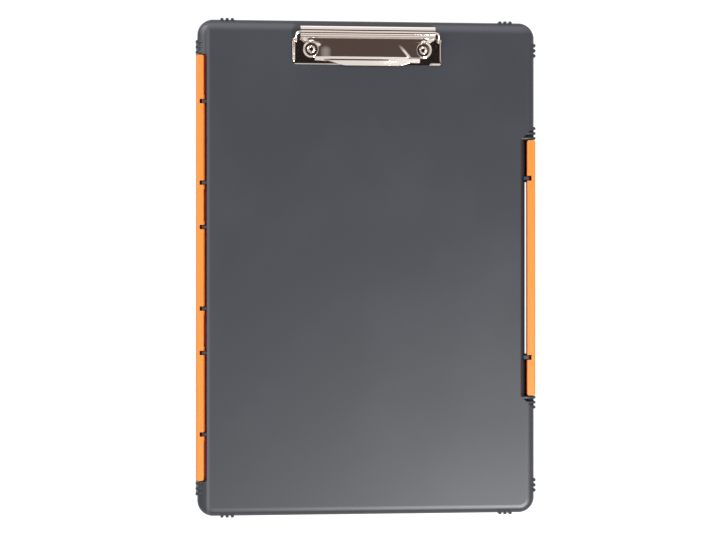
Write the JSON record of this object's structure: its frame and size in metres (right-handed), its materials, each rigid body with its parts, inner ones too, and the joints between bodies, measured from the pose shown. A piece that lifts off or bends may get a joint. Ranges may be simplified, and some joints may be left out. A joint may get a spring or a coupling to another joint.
{
  "type": "storage clipboard box",
  "caption": "Slim storage clipboard that opens like a book: a moulded tray and a writing lid on a double hinge strip, with a swinging latch bar and a sprung paper clip.",
  "frame": {"origin": "underside of the closed box, at the middle of its length and width", "axes": "+X from the hinge strip to the latch bar, +Y to the end with the clip, +Z from the tray to the lid"},
  "size_m": [0.241, 0.3504, 0.0255],
  "materials": {
    "case": "fine matte moulded polypropylene, dark grey",
    "trim": "satin moulded polypropylene, orange",
    "clip": "bright nickel plated steel"
  },
  "bodies": {
    "tray": {"tray_panel": "case", "tray_hinge_side": "case", "tray_latch_side": "case", "tray_clip_end": "case", "tray_far_end": "case", "tray_clip_corner": "case", "tray_far_corner": "case"},
    "spine": {"spine_strip": "trim"},
    "lid": {"lid_panel": "case", "lid_hinge_side": "case", "lid_latch_side": "case", "lid_clip_end": "case", "lid_far_end": "case", "lid_clip_corner": "case", "lid_far_corner": "case", "clip_base_plate": "clip", "clip_spring": "clip", "rivet_left": "clip", "rivet_right": "clip", "rivet_washer_left": "clip", "rivet_washer_right": "clip"},
    "latch": {"latch_bar": "trim"},
    "jaw": {"clip_jaw": "clip"}
  },
  "joints": [
    {"name": "spine_hinge", "type": "hinge", "parent": "tray", "child": "spine", "pos_m": [-0.1154, 0, 0.0024], "axis": [0, -1, 0], "range_deg": [0, 90]},
    {"name": "lid_hinge", "type": "hinge", "parent": "spine", "child": "lid", "pos_m": [-0.1154, 0, 0.0136], "axis": [0, -1, 0], "range_deg": [0, 90]},
    {"name": "latch_hinge", "type": "hinge", "parent": "lid", "child": "latch", "pos_m": [0.11505, 0, 0.0136], "axis": [0, -1, 0], "range_deg": [0, 90]},
    {"name": "jaw_hinge", "type": "hinge", "parent": "lid", "child": "jaw", "pos_m": [0, 0.16495, 0.0213], "axis": [-1, 0, 0], "range_deg": [0, 60], "stiffness_Nm_per_rad": 0.06, "springref_deg": -57.3}
  ]
}
